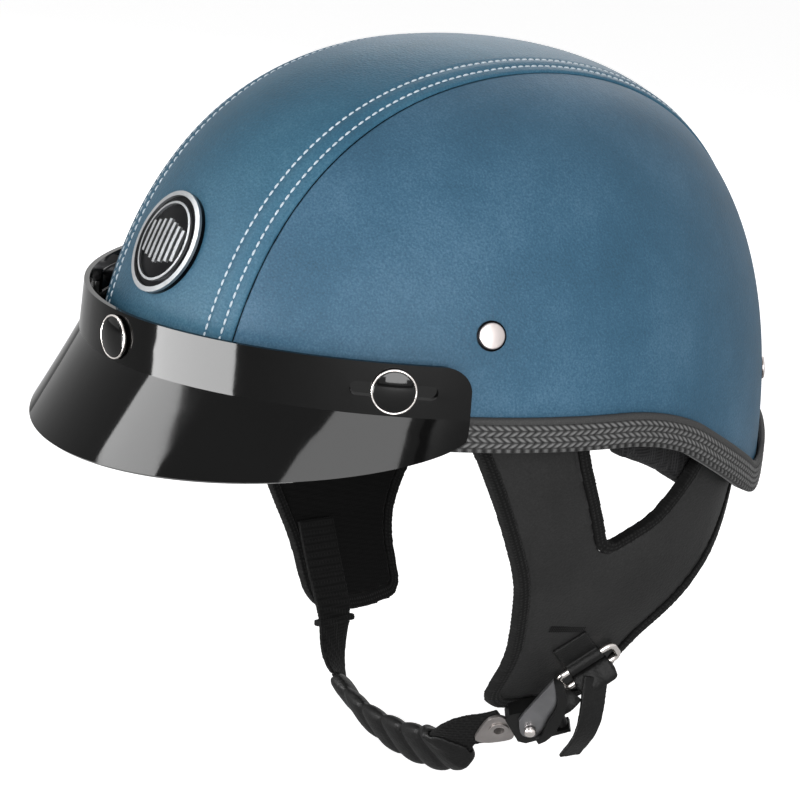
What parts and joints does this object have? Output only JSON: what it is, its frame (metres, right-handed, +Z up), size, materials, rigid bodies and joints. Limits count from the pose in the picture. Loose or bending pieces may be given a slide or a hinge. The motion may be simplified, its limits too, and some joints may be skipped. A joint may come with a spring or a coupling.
{
  "type": "half shell riding helmet",
  "caption": "Half shell riding helmet with leather cover, short visor on press studs, ear flaps, and a chin strap with a swing lever buckle and quilted chin pad.",
  "frame": {"origin": "middle of the head opening, in the plane of the straight side rim", "axes": "+Z up to the crown, front and visor towards -Y, the wearer's left towards +X"},
  "size_m": [0.2398, 0.3196, 0.3027],
  "materials": {
    "leather_blue": "fine grained, waxed",
    "leather_black": "smooth, soft sheen",
    "shell_plastic": "matt",
    "visor_plastic": "glossy",
    "trim_weave": "herringbone woven edge, satin",
    "foam": "beaded, matt",
    "lining": "brushed knit",
    "webbing": "woven",
    "tape": "ribbed woven tape",
    "bright_metal": "polished",
    "steel": "brushed",
    "black_metal": "black, semi gloss",
    "grip_rubber": "satin"
  },
  "bodies": {
    "helmet": {"badge_plate": "black_metal", "badge_relief": "bright_metal", "brow_pad": "lining", "buckle_frame": "black_metal", "buckle_strap": "leather_black", "chin_strap_right": "webbing", "cover_centre": "leather_blue", "cover_left": "leather_blue", "cover_right": "leather_blue", "crown_pad": "lining", "ear_flap_left": "leather_black", "ear_flap_right": "leather_black", "edge_trim": "trim_weave", "flap_binding_left": "tape", "flap_binding_right": "tape", "flap_lining_left": "lining", "flap_lining_right": "lining", "foam_liner": "foam", "lever_pivot": "bright_metal", "nape_pad": "lining", "ring_loop": "leather_black", "shell": "shell_plastic", "shell_studs": "black_metal", "strap_anchor_front_left": "webbing", "strap_anchor_front_right": "webbing", "strap_anchor_rear_left": "webbing", "strap_anchor_rear_right": "webbing", "strap_keeper": "webbing", "strap_ring": "bright_metal", "strap_rivet_front_left": "bright_metal", "strap_rivet_front_right": "bright_metal", "strap_rivet_rear_left": "bright_metal", "strap_rivet_rear_right": "bright_metal", "strap_tail": "leather_black", "strap_washers": "steel", "stud_washers": "steel", "temple_pad_left": "lining", "temple_pad_right": "lining", "visor": "visor_plastic", "visor_cap_centre": "leather_black", "visor_cap_left": "leather_black", "visor_cap_right": "leather_black", "visor_sockets": "black_metal"},
    "chin": {"chin_strap_middle": "leather_black", "chin_pad": "lining", "tongue_plate": "steel", "plate_eyelet": "bright_metal"},
    "lever": {"buckle_lever": "steel", "lever_grip": "grip_rubber"}
  },
  "joints": [
    {"name": "strap_release", "type": "slide", "parent": "helmet", "child": "chin", "axis": [-0.6612, -0.6211, -0.4208], "range_m": [0, 0.013], "deforming": ["chin_strap_right"]},
    {"name": "lever_swing", "type": "hinge", "parent": "helmet", "child": "lever", "pos_m": [0.0682, 0.008, -0.1325], "axis": [0.7416, -0.4564, -0.4916], "range_deg": [0, 35]}
  ]
}
